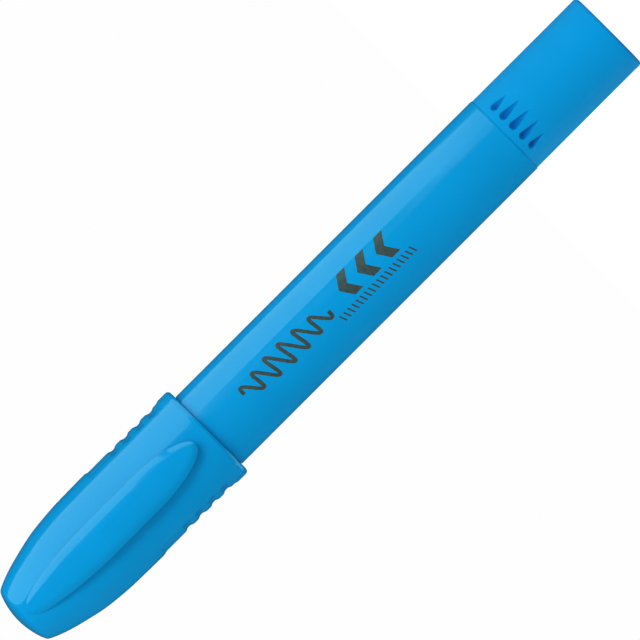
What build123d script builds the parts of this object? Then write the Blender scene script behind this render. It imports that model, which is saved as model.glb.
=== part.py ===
from build123d import *

import os

os.makedirs("parts", exist_ok=True)

# Twist-up gel highlighter, millimetres. It stands on the knob's rear face: the origin is the centre of that
# face, +Z runs along the axis to the cap's nose, and the pocket clip is on the -Y side.

# Driving sizes
overall_length = 137.2
barrel_radius = 7.75
knob_radius = 7.63
running_gap = 0.08
face_gap = 0.1

# Screw: each turn of the knob moves the stick by one lead
screw_lead = 5.0

# Heights of the main shoulders
knob_top = 24.2
barrel_start = knob_top + face_gap
seat_start = 92.9
cap_rim = seat_start + face_gap
barrel_end = 98.5
nose_end = 113.5

# Barrel: tube, bulkhead across its rear, and a spigot that carries the knob
tube_bore = 6.35
bulkhead_top = 26.8
seat_radius = 7.5
spigot_radius = 6.1
spigot_start = 17.8
shaft_bore = 3.0
groove_low = 20.1
groove_high = 21.9
groove_radius = 4.7
rib_width = 1.2
rib_inner_radius = 5.6
rib_outer_radius = 6.85
rib_top = 85.5
rear_edge = 0.25

# Friction ring in the spigot's groove
ring_thickness = 0.68

# Nose sleeve pressed into the front of the barrel
sleeve_start = 86.0
sleeve_bore = 5.4
sleeve_flange_top = 99.5
neck_radius = 7.0
neck_top = 106.0
bead_height = 103.0
bead_proud = 0.25
mouth_radius = 5.5
mouth_start = 110.0
stick_bore = 4.6
stick_bore_start = 108.0
bore_cone_start = 106.5
lip_round = 0.4

# Knob
knob_floor = 1.8
knob_cavity = 6.0
knob_bearing_start = 17.3
boss_radius = 4.4
boss_top = 16.5
socket_start = 4.0
hexagon_radius = 2.7
knob_edge_round = 0.5

# Flutes moulded into the knob, in a group on the front and a group on the back
flute_wide_end = 22.1
flute_point = 18.3
flute_radius = 0.78
flute_point_radius = 0.28
flute_axis_outside = 0.28
flute_axis_radius = knob_radius + flute_axis_outside
flute_pitch = 17.7
flutes_per_group = 5

# Lead screw
collar_gap = 0.2
collar_low = bulkhead_top + collar_gap
collar_high = 28.2
collar_radius = 3.6
thread_top = 67.0
thread_core = 1.7
thread_crest = 2.55
thread_width = 1.3
thread_corner = 0.325
thread_gap = 0.1

# Pusher: nut, tube around the screw and cup around the stick
nut_low = 28.5
nut_high = 32.5
nut_radius = 6.0
rib_gap = 0.15
pusher_tube_radius = 4.0
pusher_bore = 2.95
pusher_bore_top = 67.6
cup_cone_low = 66.0
cup_floor = 69.0
cup_top = 74.5
cup_radius = 5.1

# Gel stick
stick_radius = 4.3
stick_tip = 111.6
stick_shoulder = 108.9

# Cap shell
cap_rim_radius = 9.4
cap_shoulder = (9.36, 113.0)
cap_cheek = (9.2, 120.3)
cap_flank = [(8.76, 125.0), (8.1, 128.3), (7.26, 131.6)]
cap_corner_low = (5.92, 135.24)
cap_corner_mid = (5.46, 135.94)
cap_corner_high = (4.6, 136.38)
rim_round = 0.9
cap_bore = seat_radius + running_gap
cap_bore_top = 99.9
cap_neck_bore = neck_radius + bead_proud + face_gap
cap_neck_top = 108.5
cap_pocket_start = 109.5
mouth_chamfer = 0.35

# Grip panels on the cap's two flanks, with four grooves in each
panel_low = 95.8
panel_high = 112.0
panel_half_width = 4.5
panel_radius = 9.15
groove_depth_radius = 8.9
grip_groove_width = 1.3
grip_groove_first = 97.7
grip_groove_pitch = 2.9
grip_grooves = 4
beyond_cap = 14.0

# Cap liner, the inner cup that closes over the nose
liner_radius = 6.4
liner_wall_radius = 5.1
liner_start = 110.6
seal_gap = 0.05
liner_seal_radius = mouth_radius + seal_gap
liner_seal_top = 113.9
liner_inner_top = 132.2
liner_top = 133.0
liner_corner = 2.0
liner_inner_corner = 1.2

# Pocket clip: a leaf that follows the cap, with its root moulded into the cap's nose
leaf_crest = [
    (11.45, 95.4),
    (11.75, 104.0),
    (11.7, 114.0),
    (10.95, 122.5),
    (9.4, 129.0),
    (7.3, 133.6),
    (5.0, 136.2),
]
leaf_half_width = 3.5
leaf_low_shoulder = 108.0
leaf_low_reach = 12.1
leaf_high_shoulder = 117.0
leaf_high_reach = 19.2
leaf_free_end = leaf_low_shoulder - leaf_low_reach
leaf_split = 127.0
leaf_thickness = 1.25
leaf_root_depth = 3.4
leaf_end_margin = 0.5


def leaf_blank(depth, low, high):
    """A leaf-shaped band between two heights, as deep as asked under the clip's outer curve."""
    with BuildPart() as blank:
        with BuildSketch(Plane.XZ):
            with BuildLine():
                crest = Spline(*leaf_crest)
                under = Spline(*[(radius - depth, height) for radius, height in leaf_crest])
                Line(crest @ 0, under @ 0)
                Line(crest @ 1, under @ 1)
            make_face()
        revolve(axis=Axis.Z)
        with BuildSketch(Plane.XZ):
            with Locations((0, leaf_low_shoulder)):
                Ellipse(leaf_half_width, leaf_low_reach)
            with Locations((0, leaf_high_shoulder)):
                Ellipse(leaf_half_width, leaf_high_reach)
            with Locations((0, (leaf_low_shoulder + leaf_high_shoulder) / 2)):
                Rectangle(2 * leaf_half_width, leaf_high_shoulder - leaf_low_shoulder)
            with Locations((0, (low + high) / 2)):
                Rectangle(2 * beyond_cap, high - low, mode=Mode.INTERSECT)
        extrude(amount=beyond_cap, mode=Mode.INTERSECT)
    return blank.part


def flank_cutter(low, high, radius):
    """The two bands that a cut to this radius takes off the cap's flanks."""
    with BuildPart() as cutter:
        with BuildSketch(Plane.XY.offset(low)):
            Circle(beyond_cap)
            Circle(radius, mode=Mode.SUBTRACT)
            Rectangle(2 * beyond_cap, 2 * panel_half_width, mode=Mode.INTERSECT)
        extrude(amount=high - low)
    return cutter.part


def flute_cutter():
    """A teardrop lying along the knob, wide end towards the barrel."""
    with BuildPart() as cutter:
        with BuildSketch(Plane.XZ):
            with BuildLine():
                wide_top = (flute_axis_radius, flute_wide_end + flute_radius)
                wide_side = (flute_axis_radius + flute_radius, flute_wide_end)
                point_side = (flute_axis_radius + flute_point_radius, flute_point)
                point_end = (flute_axis_radius, flute_point - flute_point_radius)
                RadiusArc(wide_top, wide_side, -flute_radius)
                Line(wide_side, point_side)
                RadiusArc(point_side, point_end, -flute_point_radius)
                Line(point_end, wide_top)
            make_face()
        revolve(axis=Axis((flute_axis_radius, 0, 0), (0, 0, 1)))
    return cutter.part


def thread_section(gap):
    """Core and two opposite starts of the thread, grown by a gap."""
    with BuildSketch(Plane.XY.offset(nut_low)) as section:
        Circle(thread_core + gap)
        RectangleRounded(2 * (thread_crest + gap), thread_width + 2 * gap, thread_corner)
    return section.sketch


def twisted(section, height):
    """The section raised from the nut's lower face and turned left-handed at the screw's lead."""
    rise = Line((0, 0, nut_low), (0, 0, nut_low + height))
    turn = Helix(screw_lead, height, thread_crest, center=(0, 0, nut_low), lefthand=True)
    return sweep(section, path=rise, binormal=turn)


# Barrel
with BuildPart() as barrel_tube:
    with BuildSketch(Plane.XZ):
        with BuildLine():
            Polyline(
                (shaft_bore, spigot_start),
                (spigot_radius, spigot_start),
                (spigot_radius, groove_low),
                (groove_radius, groove_low),
                (groove_radius, groove_high),
                (spigot_radius, groove_high),
                (spigot_radius, barrel_start),
                (barrel_radius - rear_edge, barrel_start),
                (barrel_radius, barrel_start + rear_edge),
                (barrel_radius, seat_start),
                (seat_radius, seat_start),
                (seat_radius, barrel_end),
                (tube_bore, barrel_end),
                (tube_bore, bulkhead_top),
                (shaft_bore, bulkhead_top),
                close=True,
            )
        make_face()
    revolve(axis=Axis.Z)
    with BuildSketch(Plane.XY.offset(bulkhead_top)):
        Rectangle(2 * tube_bore, rib_width)
        Circle(rib_inner_radius, mode=Mode.SUBTRACT)
        Circle(rib_outer_radius, mode=Mode.INTERSECT)
    extrude(amount=rib_top - bulkhead_top)
barrel_tube.part.label = "barrel_tube"
export_step(barrel_tube.part, "parts/barrel_tube.step")

# Friction ring
with BuildPart() as friction_ring:
    with BuildSketch(Plane.XZ):
        with Locations((groove_radius + ring_thickness, (groove_low + groove_high) / 2)):
            Circle(ring_thickness)
    revolve(axis=Axis.Z)
friction_ring.part.label = "friction_ring"
export_step(friction_ring.part, "parts/friction_ring.step")

# Nose sleeve
with BuildPart() as nose_sleeve:
    with BuildSketch(Plane.XZ):
        with BuildLine():
            Polyline(
                (sleeve_bore, sleeve_start),
                (tube_bore, sleeve_start),
                (tube_bore, barrel_end),
                (seat_radius, barrel_end),
                (seat_radius, sleeve_flange_top),
                (neck_radius, sleeve_flange_top),
                (neck_radius, neck_top),
                (mouth_radius, mouth_start),
                (mouth_radius, nose_end),
                (stick_bore, nose_end),
                (stick_bore, stick_bore_start),
                (sleeve_bore, bore_cone_start),
                close=True,
            )
        make_face()
        with Locations((neck_radius, bead_height)):
            Circle(bead_proud)
    revolve(axis=Axis.Z)
    fillet(nose_sleeve.faces().sort_by(Axis.Z)[-1].edges(), lip_round)
nose_sleeve.part.label = "nose_sleeve"
export_step(nose_sleeve.part, "parts/nose_sleeve.step")

# Twist knob
flute = flute_cutter()
with BuildPart() as twist_knob:
    with BuildSketch(Plane.XZ):
        with BuildLine():
            Polyline(
                (0, 0),
                (knob_radius, 0),
                (knob_radius, knob_top),
                (spigot_radius + running_gap, knob_top),
                (spigot_radius + running_gap, knob_bearing_start),
                (knob_cavity, knob_bearing_start),
                (knob_cavity, knob_floor),
                (boss_radius, knob_floor),
                (boss_radius, boss_top),
                (0, boss_top),
                close=True,
            )
        make_face()
    revolve(axis=Axis.Z)
    fillet(twist_knob.faces().sort_by(Axis.Z)[0].edges(), knob_edge_round)
    with BuildSketch(Plane.XY.offset(socket_start)):
        RegularPolygon(hexagon_radius, 6)
    extrude(amount=boss_top - socket_start, mode=Mode.SUBTRACT)
    group_angle = flute_pitch * (flutes_per_group - 1)
    for group_centre in (-90, 90):
        with PolarLocations(0, flutes_per_group, group_centre - group_angle / 2, group_angle, endpoint=True):
            add(flute, mode=Mode.SUBTRACT)
twist_knob.part.label = "twist_knob"
export_step(twist_knob.part, "parts/twist_knob.step")

# Lead screw
screw_thread = twisted(thread_section(0), thread_top - nut_low)
with BuildPart() as lead_screw:
    with BuildSketch(Plane.XY.offset(socket_start)):
        RegularPolygon(hexagon_radius, 6)
    extrude(amount=boss_top - socket_start)
    with BuildSketch(Plane.XY.offset(boss_top)):
        Circle(shaft_bore - running_gap)
    extrude(amount=collar_low - boss_top)
    with BuildSketch(Plane.XY.offset(collar_low)):
        Circle(collar_radius)
    extrude(amount=collar_high - collar_low)
    with BuildSketch(Plane.XY.offset(collar_high)):
        Circle(thread_core)
    extrude(amount=nut_low - collar_high)
    add(screw_thread)
lead_screw.part.label = "lead_screw"
export_step(lead_screw.part, "parts/lead_screw.step")

# Pusher
nut_thread = twisted(thread_section(thread_gap), nut_high - nut_low)
with BuildPart() as pusher:
    with BuildSketch(Plane.XZ):
        with BuildLine():
            Polyline(
                (0, nut_low),
                (nut_radius, nut_low),
                (nut_radius, nut_high),
                (pusher_tube_radius, nut_high),
                (pusher_tube_radius, cup_cone_low),
                (cup_radius, cup_floor),
                (cup_radius, cup_top),
                (stick_radius, cup_top),
                (stick_radius, cup_floor),
                (0, cup_floor),
                close=True,
            )
        make_face()
    revolve(axis=Axis.Z)
    with BuildSketch(Plane.XY.offset(nut_high)):
        Circle(pusher_bore)
    extrude(amount=pusher_bore_top - nut_high, mode=Mode.SUBTRACT)
    add(nut_thread, mode=Mode.SUBTRACT)
    with BuildSketch(Plane.XY.offset(nut_low)):
        Rectangle(2 * barrel_radius, rib_width + 2 * rib_gap)
        Circle(rib_inner_radius - rib_gap, mode=Mode.SUBTRACT)
    extrude(amount=nut_high - nut_low, mode=Mode.SUBTRACT)
pusher.part.label = "pusher"
export_step(pusher.part, "parts/pusher.step")

# Gel stick
with BuildPart() as gel_stick:
    with BuildSketch(Plane.XZ):
        with BuildLine():
            shoulder = (stick_radius, stick_shoulder)
            Polyline((0, stick_tip), (0, cup_floor), (stick_radius, cup_floor), shoulder)
            Spline(shoulder, (0, stick_tip), tangents=((0, 1), (-1, 0)))
        make_face()
    revolve(axis=Axis.Z)
gel_stick.part.label = "gel_stick"
export_step(gel_stick.part, "parts/gel_stick.step")

# Cap shell
clip_root = leaf_blank(leaf_root_depth, leaf_split, overall_length)
with BuildPart() as cap_shell:
    with BuildSketch(Plane.XZ):
        with BuildLine():
            Line((0, overall_length), (0, cap_rim))
            Line((0, cap_rim), (cap_rim_radius, cap_rim))
            Line((cap_rim_radius, cap_rim), cap_shoulder)
            Line(cap_shoulder, cap_cheek)
            Spline(cap_cheek, *cap_flank, cap_corner_low)
            ThreePointArc(cap_corner_low, cap_corner_mid, cap_corner_high)
            TangentArc((0, overall_length), cap_corner_high, tangent=(1, 0))
        make_face()
    revolve(axis=Axis.Z)
    fillet(cap_shell.faces().sort_by(Axis.Z)[0].edges(), rim_round)
    add(clip_root)
    with BuildSketch(Plane.XZ):
        with BuildLine():
            pocket_side = (liner_radius, liner_top - liner_corner)
            pocket_top = (liner_radius - liner_corner, liner_top)
            Polyline(
                (0, cap_rim),
                (cap_bore + mouth_chamfer, cap_rim),
                (cap_bore, cap_rim + mouth_chamfer),
                (cap_bore, cap_bore_top),
                (cap_neck_bore, cap_bore_top),
                (cap_neck_bore, cap_neck_top),
                (liner_radius, cap_pocket_start),
                pocket_side,
            )
            RadiusArc(pocket_side, pocket_top, -liner_corner)
            Polyline(pocket_top, (0, liner_top), (0, cap_rim))
        make_face()
    revolve(axis=Axis.Z, mode=Mode.SUBTRACT)
    add(flank_cutter(panel_low, panel_high, panel_radius), mode=Mode.SUBTRACT)
    for groove in range(grip_grooves):
        groove_low_edge = grip_groove_first + groove * grip_groove_pitch - grip_groove_width / 2
        grip_groove = flank_cutter(groove_low_edge, groove_low_edge + grip_groove_width, groove_depth_radius)
        add(grip_groove, mode=Mode.SUBTRACT)
cap_shell.part.label = "cap_shell"
export_step(cap_shell.part, "parts/cap_shell.step")

# Cap liner
with BuildPart() as cap_liner:
    with BuildSketch(Plane.XZ):
        with BuildLine():
            outer_side = (liner_radius, liner_top - liner_corner)
            outer_top = (liner_radius - liner_corner, liner_top)
            inner_side = (liner_wall_radius, liner_inner_top - liner_inner_corner)
            inner_top = (liner_wall_radius - liner_inner_corner, liner_inner_top)
            Polyline((liner_seal_radius, liner_start), (liner_radius, liner_start), outer_side)
            RadiusArc(outer_side, outer_top, -liner_corner)
            Polyline(outer_top, (0, liner_top), (0, liner_inner_top), inner_top)
            RadiusArc(inner_top, inner_side, liner_inner_corner)
            Polyline(
                inner_side,
                (liner_wall_radius, liner_seal_top),
                (liner_seal_radius, liner_seal_top),
                (liner_seal_radius, liner_start),
            )
        make_face()
    revolve(axis=Axis.Z)
cap_liner.part.label = "cap_liner"
export_step(cap_liner.part, "parts/cap_liner.step")

# Pocket clip
with BuildPart() as pocket_clip:
    add(leaf_blank(leaf_thickness, leaf_free_end - leaf_end_margin, leaf_split - face_gap))
pocket_clip.part.label = "pocket_clip"
export_step(pocket_clip.part, "parts/pocket_clip.step")
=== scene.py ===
"""A twist-up gel highlighter: its mouldings, print and gel, laid out as an add-on and run as a script."""

import math

import bmesh
import bpy
from bpy.props import FloatProperty, FloatVectorProperty, IntProperty, PointerProperty
from mathutils import Matrix, Vector


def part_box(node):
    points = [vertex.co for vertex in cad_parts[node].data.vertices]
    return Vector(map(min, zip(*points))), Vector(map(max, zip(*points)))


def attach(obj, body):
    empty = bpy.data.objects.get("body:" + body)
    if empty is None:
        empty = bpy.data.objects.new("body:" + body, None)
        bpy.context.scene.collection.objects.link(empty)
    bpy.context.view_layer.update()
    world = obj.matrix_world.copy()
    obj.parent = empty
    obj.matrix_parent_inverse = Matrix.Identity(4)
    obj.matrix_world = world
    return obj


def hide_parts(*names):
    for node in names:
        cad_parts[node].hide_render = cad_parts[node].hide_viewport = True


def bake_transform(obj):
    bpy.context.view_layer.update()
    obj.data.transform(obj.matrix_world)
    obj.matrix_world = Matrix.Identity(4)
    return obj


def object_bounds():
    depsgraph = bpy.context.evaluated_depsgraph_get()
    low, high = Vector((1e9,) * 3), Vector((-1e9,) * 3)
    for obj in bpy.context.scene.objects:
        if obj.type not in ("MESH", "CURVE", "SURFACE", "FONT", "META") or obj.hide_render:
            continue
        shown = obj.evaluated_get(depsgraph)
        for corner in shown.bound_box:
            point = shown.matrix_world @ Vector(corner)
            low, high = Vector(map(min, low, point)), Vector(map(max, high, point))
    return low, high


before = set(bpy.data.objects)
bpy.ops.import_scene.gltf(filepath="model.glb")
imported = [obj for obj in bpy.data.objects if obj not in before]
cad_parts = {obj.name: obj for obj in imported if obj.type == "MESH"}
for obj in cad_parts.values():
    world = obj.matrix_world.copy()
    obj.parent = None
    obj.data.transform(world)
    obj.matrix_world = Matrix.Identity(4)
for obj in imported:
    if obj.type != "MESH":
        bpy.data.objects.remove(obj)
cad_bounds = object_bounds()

bl_info = {
    "name": "Gel Highlighter",
    "version": (1, 0, 0),
    "blender": (4, 5, 0),
    "location": "3D View > Sidebar > Highlighter",
    "description": "Builds the visible mouldings of a twist-up gel highlighter around its fixed frame",
    "category": "Object",
}

MM = 0.001
# Painted shade: the attribute below is the mask that paints the deeper recess blue into pressed-in points as
# shade.
RECESS_SHADE = "recess_shade"  # point attribute that says how deep the surface was pressed in, 0 to 1


def low(node):
    """Lowest corner of a frame node."""
    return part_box(node)[0]


def high(node):
    """Highest corner of a frame node."""
    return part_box(node)[1]


def length(name, description, default):
    """A length setting, in metres."""
    return FloatProperty(name=name, description=description, default=default, unit="LENGTH", precision=5)


def colour(name, description, default):
    """A colour setting."""
    return FloatVectorProperty(
        name=name, description=description, default=default, subtype="COLOR", min=0, max=1
    )


# ---------------------------------------------------------------- sizes and colours


class HighlighterSizes(bpy.types.PropertyGroup):
    """Sizes that shape the mouldings; the frame's own sizes are their defaults."""

    knob_radius: length("Knob radius", "Outside of the twist knob", high("twist_knob").x)
    knob_top: length("Knob top", "Height of the knob's front face", high("twist_knob").z)
    barrel_radius: length("Barrel radius", "Outside of the barrel", high("barrel_tube").x)
    barrel_end: length("Barrel end", "Height of the barrel tube's end, in the cap", high("barrel_tube").z)
    cap_rim: length("Cap rim", "Height of the cap's rim", low("cap_shell").z)
    cap_radius: length("Cap radius", "Outside of the cap at its rim", high("cap_shell").x)
    flute_pitch: FloatProperty(
        name="Flute pitch", description="Angle between flutes", default=math.radians(17.7), subtype="ANGLE"
    )
    flute_count: IntProperty(name="Flutes", description="Flutes in each group", default=5, min=1)
    flute_depth: length("Flute depth", "Deepest point of a flute", 0.6 * MM)
    groove_count: IntProperty(name="Grip grooves", description="Grooves in each grip panel", default=4, min=1)
    groove_pitch: length("Groove pitch", "Distance between two grip grooves", 2.9 * MM)
    leaf_half_width: length("Clip half width", "Half the clip's widest width", high("pocket_clip").x)
    leaf_thickness: length("Clip thickness", "Thickness of the free leaf", 1.25 * MM)
    ink_thickness: length("Ink thickness", "How far the print stands proud of the barrel", 0.012 * MM)


class HighlighterColours(bpy.types.PropertyGroup):
    """Colours of the plastics, the gel and the ink."""

    gloss: colour("Gloss blue", "Gloss plastic of the barrel, cap and clip", (0.0012, 0.330, 0.735))
    satin: colour("Satin blue", "Satin plastic of the knob and nose", (0.0010, 0.326, 0.735))
    # Painted shade: the recess blue is mixed into flutes and grooves to stand in for the shade at their
    # bottoms.
    depth: colour("Recess blue", "Deeper blue at the bottom of recesses", (0.0006, 0.110, 0.440))
    gel: colour("Gel blue", "Highlighter gel", (0.004, 0.46, 0.88))
    ink: colour("Ink grey", "Printed motif on the barrel", (0.041, 0.078, 0.073))
    liner: colour("Liner white", "Soft plastic of the cap's liner", (0.80, 0.82, 0.82))
    natural: colour("Natural plastic", "Unpigmented screw and pusher", (0.74, 0.74, 0.70))
    rubber: colour("Rubber", "Friction ring", (0.018, 0.018, 0.019))
    floor: colour("Floor", "Pale floor", (0.62, 0.62, 0.62))
    softbox: colour("Softbox", "Cool cloth of the softboxes", (0.38, 0.77, 0.71))


# ---------------------------------------------------------------- node graphs


class Graph:
    """Adds nodes to a tree, and links or sets their inputs."""

    def __init__(self, tree):
        self.tree = tree

    def add(self, kind, inputs=None, **settings):
        node = self.tree.nodes.new(kind)
        for key, value in settings.items():
            setattr(node, key, value)
        for key, value in (inputs or {}).items():
            self.feed(node.inputs[key], value)
        return node

    def feed(self, socket, value):
        if isinstance(value, bpy.types.NodeSocket):
            self.tree.links.new(value, socket)
        else:
            socket.default_value = value

    def math(self, operation, *values):
        return self.add("ShaderNodeMath", dict(enumerate(values)), operation=operation).outputs[0]

    def product(self, first, *others):
        for other in others:
            first = self.math("MULTIPLY", first, other)
        return first

    def held(self, value, lowest, highest):
        """The value, kept between two limits."""
        return self.math("MINIMUM", self.math("MAXIMUM", value, lowest), highest)

    def step(self, value, start, end):
        """A smooth step from 0 at start to 1 at end."""
        inputs = {"Value": value, "From Min": start, "From Max": end}
        return self.add("ShaderNodeMapRange", inputs, interpolation_type="SMOOTHSTEP").outputs[0]

    def noise(self, vector, scale, detail=2.0, roughness=0.5):
        inputs = {"Vector": vector, "Scale": scale, "Detail": detail, "Roughness": roughness}
        return self.add("ShaderNodeTexNoise", inputs).outputs["Fac"]


def new_group(name, kind, inputs, outputs):
    """A node group with named sockets, its graph, and the sockets that its nodes read and feed."""
    tree = bpy.data.node_groups.new(name, kind)
    for label, socket in inputs:
        tree.interface.new_socket(name=label, in_out="INPUT", socket_type=socket)
    for label, socket in outputs:
        tree.interface.new_socket(name=label, in_out="OUTPUT", socket_type=socket)
    graph = Graph(tree)
    start = tree.nodes.new("NodeGroupInput")
    end = tree.nodes.new("NodeGroupOutput")
    return tree, graph, start.outputs, end.inputs


FLOAT = "NodeSocketFloat"
VECTOR = "NodeSocketVector"


def moulded_skin():
    """Faint waviness and flow tone of a moulded surface."""
    inputs = [("Position", VECTOR), ("Wave Scale", FLOAT), ("Grain Scale", FLOAT), ("Grain Share", FLOAT)]
    outputs = [("Height", FLOAT), ("Tone", FLOAT)]
    flow_scale = 90.0
    tree, graph, start, end = new_group("Moulded Skin", "ShaderNodeTree", inputs, outputs)
    wave = graph.noise(start["Position"], start["Wave Scale"], 1.0)
    grain = graph.noise(start["Position"], start["Grain Scale"], 3.0, 0.6)
    graph.feed(end["Height"], graph.math("MULTIPLY_ADD", grain, start["Grain Share"], wave))
    flow = graph.noise(start["Position"], flow_scale, 2.0)
    graph.feed(end["Tone"], graph.step(flow, 0.3, 0.7))
    return tree


def handling_marks():
    """Fine scuffs and finger smears that roughen the gloss in patches."""
    inputs = [("Position", VECTOR), ("Smooth", FLOAT), ("Scuffed", FLOAT), ("Amount", FLOAT)]
    outputs = [("Roughness", FLOAT), ("Height", FLOAT)]
    scratch_scale, scratch_lean, scratch_stretch, smear_scale = 2600.0, (0.5, 0.3, 0.2), (1, 1, 0.05), 120.0
    tree, graph, start, end = new_group("Handling Marks", "ShaderNodeTree", inputs, outputs)
    drawn = {"Vector": start["Position"], "Rotation": scratch_lean, "Scale": scratch_stretch}
    stretch = graph.add("ShaderNodeMapping", drawn)
    scratches = graph.noise(stretch.outputs[0], scratch_scale, 4.0, 0.7)
    lines = graph.step(scratches, 0.62, 0.74)
    smear = graph.step(graph.noise(start["Position"], smear_scale, 3.0, 0.55), 0.45, 0.75)
    marks = graph.math("MAXIMUM", lines, graph.math("MULTIPLY", smear, 0.5))
    scuff = graph.math("MULTIPLY", marks, start["Amount"])
    span = graph.math("SUBTRACT", start["Scuffed"], start["Smooth"])
    graph.feed(end["Roughness"], graph.math("MULTIPLY_ADD", scuff, span, start["Smooth"]))
    graph.feed(end["Height"], graph.math("MULTIPLY", graph.math("MULTIPLY", lines, -1.0), start["Amount"]))
    return tree


def edge_polish():
    """A mask of worn, slightly paler edges, from the surface's own curvature."""
    inputs = [("Position", VECTOR), ("Softness", FLOAT)]
    nearly_flat, breakup_scale = 0.52, 700.0
    tree, graph, start, end = new_group("Edge Polish", "ShaderNodeTree", inputs, [("Mask", FLOAT)])
    pointed = graph.add("ShaderNodeNewGeometry").outputs["Pointiness"]
    worn = graph.step(pointed, nearly_flat, graph.math("ADD", nearly_flat, start["Softness"]))
    breakup = graph.step(graph.noise(start["Position"], breakup_scale, 3.0), 0.35, 0.65)
    graph.feed(end["Mask"], graph.math("MULTIPLY", worn, breakup))
    return tree


def shared_group(builder, name):
    """The named node group, built on its first use."""
    return bpy.data.node_groups.get(name) or builder()


# ---------------------------------------------------------------- materials


def start_material(name):
    """A material with its graph, shader and Object coordinates."""
    material = bpy.data.materials.new(name)
    material.use_nodes = True
    graph = Graph(material.node_tree)
    shader = material.node_tree.nodes["Principled BSDF"]
    position = graph.add("ShaderNodeTexCoord").outputs["Object"]
    return material, graph, shader, position


def group_node(graph, builder, name, inputs):
    """Places a shared group in a material with this material's values."""
    node = graph.add("ShaderNodeGroup", node_tree=shared_group(builder, name))
    for key, value in inputs.items():
        graph.feed(node.inputs[key], value)
    return node.outputs


def mix(graph, factor, a, b):
    """Colour a where the factor is 0, and b where it is 1."""
    node = graph.add("ShaderNodeMix", data_type="RGBA")
    graph.feed(node.inputs["Factor"], factor)
    graph.feed(node.inputs[6], a)
    graph.feed(node.inputs[7], b)
    return node.outputs[2]


def shade(rgb, factor):
    """A paler or deeper version of a colour, with full alpha."""
    return (*(min(1.0, channel * factor) for channel in rgb), 1.0)


WAVE_SCALE, GRAIN_SCALE = 160.0, 5200.0
EDGE_SOFTNESS, EDGE_SHARE, EDGE_PALER = 0.12, 0.22, 1.35
SKIN_HEIGHT, SCATTER_DEPTH, GEL_DEPTH = 0.01 * MM, 0.6 * MM, 1.6 * MM


def plastic(name, rgb, smooth, scuffed, marks, grain, bump, sheen=0.5, scatter=0.0, recess_shade=None):
    """Moulded plastic: flow tone, edge polish, scuffs, skin bump, and painted shade in recesses as a deeper
    colour.
    """
    material, graph, shader, position = start_material(name)
    skin = group_node(graph, moulded_skin, "Moulded Skin", {
        "Position": position, "Wave Scale": WAVE_SCALE, "Grain Scale": GRAIN_SCALE, "Grain Share": grain,
    })
    wear = group_node(graph, handling_marks, "Handling Marks", {
        "Position": position, "Smooth": smooth, "Scuffed": scuffed, "Amount": marks,
    })
    edge = group_node(graph, edge_polish, "Edge Polish", {"Position": position, "Softness": EDGE_SOFTNESS})
    tone = mix(graph, skin["Tone"], shade(rgb, 0.975), shade(rgb, 1.02))
    worn = mix(graph, graph.math("MULTIPLY", edge["Mask"], EDGE_SHARE), tone, shade(rgb, EDGE_PALER))
    # Painted shade: the stored recess mask mixes the colour towards the deeper recess blue.
    if recess_shade:
        recess_shade_mask = graph.add("ShaderNodeAttribute", attribute_name=RECESS_SHADE).outputs["Fac"]
        worn = mix(graph, recess_shade_mask, worn, (*recess_shade, 1.0))
    graph.feed(shader.inputs["Base Color"], worn)
    graph.feed(shader.inputs["Roughness"], wear["Roughness"])
    height = graph.math("ADD", skin["Height"], wear["Height"])
    normal = graph.add("ShaderNodeBump", {"Height": height, "Strength": bump, "Distance": SKIN_HEIGHT})
    graph.feed(shader.inputs["Normal"], normal.outputs["Normal"])
    shader.inputs["IOR"].default_value = 1.49
    shader.inputs["Specular IOR Level"].default_value = sheen
    shader.inputs["Subsurface Weight"].default_value = scatter
    shader.inputs["Subsurface Radius"].default_value = (0.2, 0.6, 1.0)
    shader.inputs["Subsurface Scale"].default_value = SCATTER_DEPTH
    return material


def gel_material(rgb):
    """Waxy gel: clouded tone, soft scatter and drag lines from the nose."""
    cloud_scale, drag_scale, drag_stretch = 420.0, 1500.0, (1, 1, 0.04)
    material, graph, shader, position = start_material("Gel")
    cloud = graph.step(graph.noise(position, cloud_scale, 3.0), 0.3, 0.7)
    graph.feed(shader.inputs["Base Color"], mix(graph, cloud, shade(rgb, 0.9), shade(rgb, 1.06)))
    drag = graph.add("ShaderNodeMapping", {"Vector": position, "Scale": drag_stretch})
    lines = graph.noise(drag.outputs[0], drag_scale, 3.0, 0.6)
    graph.feed(shader.inputs["Roughness"], graph.math("MULTIPLY_ADD", lines, 0.2, 0.24))
    height = graph.math("MULTIPLY_ADD", cloud, 0.5, lines)
    normal = graph.add("ShaderNodeBump", {"Height": height, "Strength": 0.35, "Distance": 0.05 * MM})
    graph.feed(shader.inputs["Normal"], normal.outputs["Normal"])
    shader.inputs["Subsurface Weight"].default_value = 0.5
    shader.inputs["Subsurface Radius"].default_value = (0.1, 0.7, 1.0)
    shader.inputs["Subsurface Scale"].default_value = GEL_DEPTH
    shader.inputs["IOR"].default_value = 1.44
    return material


def ink_material(rgb):
    """Pad-printed ink: slightly uneven cover, satin."""
    cover_scale = 2400.0
    material, graph, shader, position = start_material("Pad Print")
    cover = graph.step(graph.noise(position, cover_scale, 3.0, 0.6), 0.35, 0.65)
    graph.feed(shader.inputs["Base Color"], mix(graph, cover, shade(rgb, 0.85), shade(rgb, 1.15)))
    graph.feed(shader.inputs["Roughness"], graph.math("MULTIPLY_ADD", cover, 0.1, 0.34))
    normal = graph.add("ShaderNodeBump", {"Height": cover, "Strength": 0.2, "Distance": 0.004 * MM})
    graph.feed(shader.inputs["Normal"], normal.outputs["Normal"])
    return material


FLOOR_LIFT, FLOOR_LIFT_MIDDLE = 0.64, (0.75, 0.75, 0.75, 1)
FLOOR_MIDDLE = (0.04, 0.6)


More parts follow.
